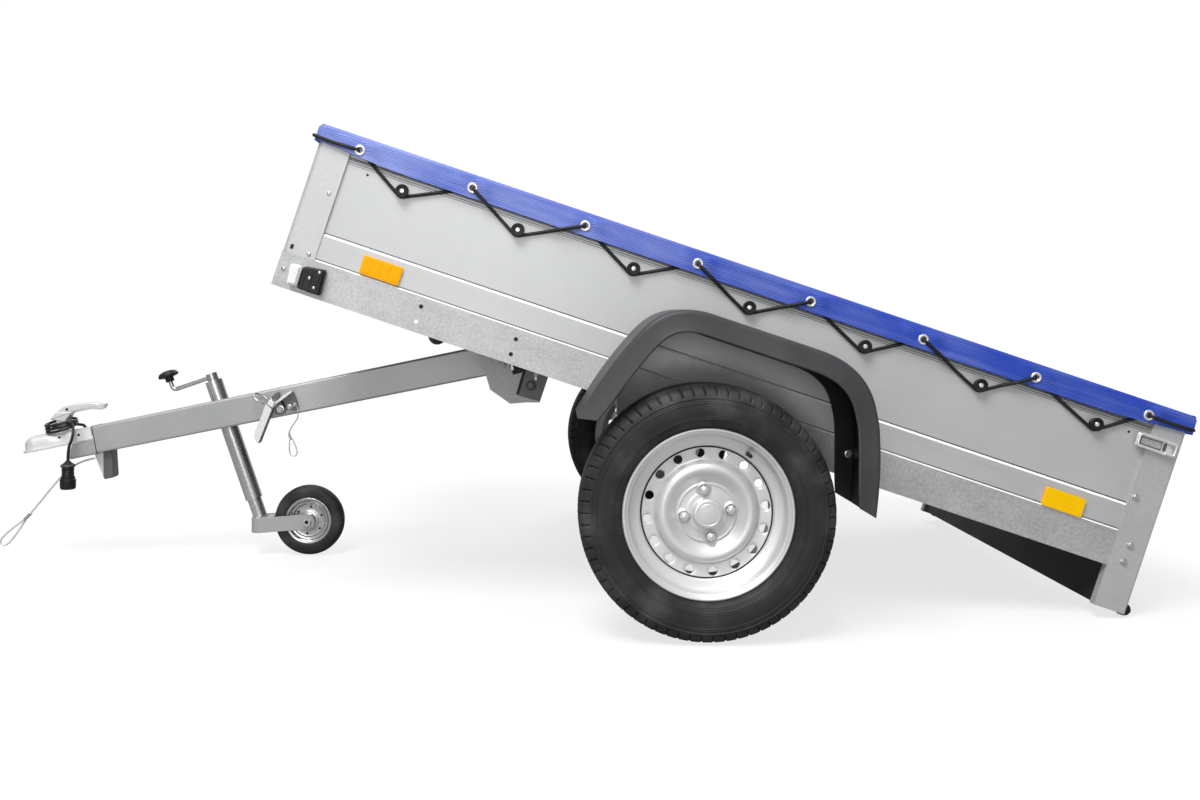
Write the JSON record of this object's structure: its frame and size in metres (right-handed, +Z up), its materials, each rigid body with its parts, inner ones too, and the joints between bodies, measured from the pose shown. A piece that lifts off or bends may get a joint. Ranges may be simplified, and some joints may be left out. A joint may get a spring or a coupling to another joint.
{
  "type": "tipping utility trailer",
  "caption": "Tipping utility trailer with a laced flat cover, hinged drawbar, ball coupling, jockey wheel and drop tailgate, standing with its bed tipped back.",
  "frame": {"origin": "middle of the bounding box's underside, on the ground", "axes": "+X towards the trailer's back, +Y to its right side, +Z up"},
  "size_m": [3.004, 1.616, 1.13],
  "materials": {
    "galvanised": "spangled hot-dip galvanised steel",
    "sheet_steel": "smooth zinc-coated sheet steel",
    "zinc": "bright zinc plating",
    "black_plastic": "black moulded plastic",
    "floor_board": "film-faced plywood",
    "fender_plastic": "dark grey satin plastic",
    "tyre": "black tyre rubber",
    "wheel_silver": "silver paint on pressed steel",
    "red_lens": "red lamp lens",
    "plate_white": "blank white plate",
    "clear_lens": "clear ribbed lamp lens",
    "amber_lens": "amber prismatic reflector",
    "rubber": "black rubber and elastic cord",
    "cover_fabric": "blue coated fabric, slightly glossy"
  },
  "bodies": {
    "drawbar": {"drawbar_tube": "galvanised", "coupling_head": "zinc", "coupling_handle": "zinc", "drawbar_foot": "galvanised", "tip_lock": "galvanised", "tip_lock_lever": "zinc", "jockey_clamp": "galvanised", "lead_coil": "rubber", "lead_drop": "rubber", "lead_plug": "black_plastic", "safety_cable": "zinc", "lock_lanyard": "zinc"},
    "jockey_tube": {"jockey_outer_tube": "zinc", "jockey_crank": "zinc", "jockey_knob": "black_plastic"},
    "jockey_leg": {"jockey_inner_tube": "zinc"},
    "jockey_fork": {"jockey_fork": "galvanised", "jockey_axle": "zinc"},
    "jockey_wheel": {"jockey_tyre": "tyre", "jockey_rim": "zinc"},
    "bed": {"sills": "galvanised", "cross_members": "galvanised", "floor": "floor_board", "side_panels": "sheet_steel", "front_panel": "sheet_steel", "front_posts": "galvanised", "rear_posts": "galvanised", "hinge_cheeks": "galvanised", "pivot_bolt": "zinc", "axle_beam": "galvanised", "swing_arms": "galvanised", "fenders": "fender_plastic", "lamp_board": "black_plastic", "rear_lamps": "red_lens", "number_plate": "plate_white", "front_lamp_bases": "black_plastic", "front_lamp_lenses": "clear_lens", "side_reflectors": "amber_lens", "rubber_buffers": "rubber", "latches": "zinc", "cord_knobs": "black_plastic", "cover_sheet": "cover_fabric", "cover_rear_flap": "cover_fabric", "cover_cord": "rubber", "cover_cord_rear": "rubber", "hinge_pins": "galvanised"},
    "tailgate": {"tailgate_panel": "sheet_steel", "tailgate_hinges": "galvanised"},
    "wheel_left": {"tyre_left": "tyre", "rim_left": "wheel_silver", "hub_left": "galvanised"},
    "wheel_right": {"tyre_right": "tyre", "rim_right": "wheel_silver", "hub_right": "galvanised"}
  },
  "joints": [
    {"name": "bed_tip", "type": "hinge", "parent": "drawbar", "child": "bed", "pos_m": [-0.17406, 0, 0.56248], "axis": [0, 1, 0], "range_deg": [-30, 0]},
    {"name": "jockey_raise", "type": "slide", "parent": "drawbar", "child": "jockey_tube", "axis": [-0.3264, 0, 0.9452], "range_m": [0, 0.15]},
    {"name": "jockey_wind", "type": "slide", "parent": "jockey_tube", "child": "jockey_leg", "axis": [-0.3264, 0, 0.9452], "range_m": [-0.15, 0.045]},
    {"name": "jockey_swivel", "type": "hinge", "parent": "jockey_leg", "child": "jockey_fork", "pos_m": [-0.93658, 0.075, 0.40804], "axis": [-0.3264, 0, 0.9452], "continuous": true},
    {"name": "jockey_spin", "type": "hinge", "parent": "jockey_fork", "child": "jockey_wheel", "pos_m": [-0.69056, 0.075, 0.1], "axis": [0, 1, 0], "continuous": true},
    {"name": "wheel_left_spin", "type": "hinge", "parent": "bed", "child": "wheel_left", "pos_m": [0.33437, -0.73, 0.2735], "axis": [0, 1, 0], "continuous": true},
    {"name": "wheel_right_spin", "type": "hinge", "parent": "bed", "child": "wheel_right", "pos_m": [0.33437, 0.73, 0.2735], "axis": [0, 1, 0], "continuous": true},
    {"name": "tailgate_drop", "type": "hinge", "parent": "bed", "child": "tailgate", "pos_m": [1.372, 0, 0.17489], "axis": [0, 1, 0], "range_deg": [0, 90], "deforming": ["cover_rear_flap", "cover_cord_rear"]}
  ]
}
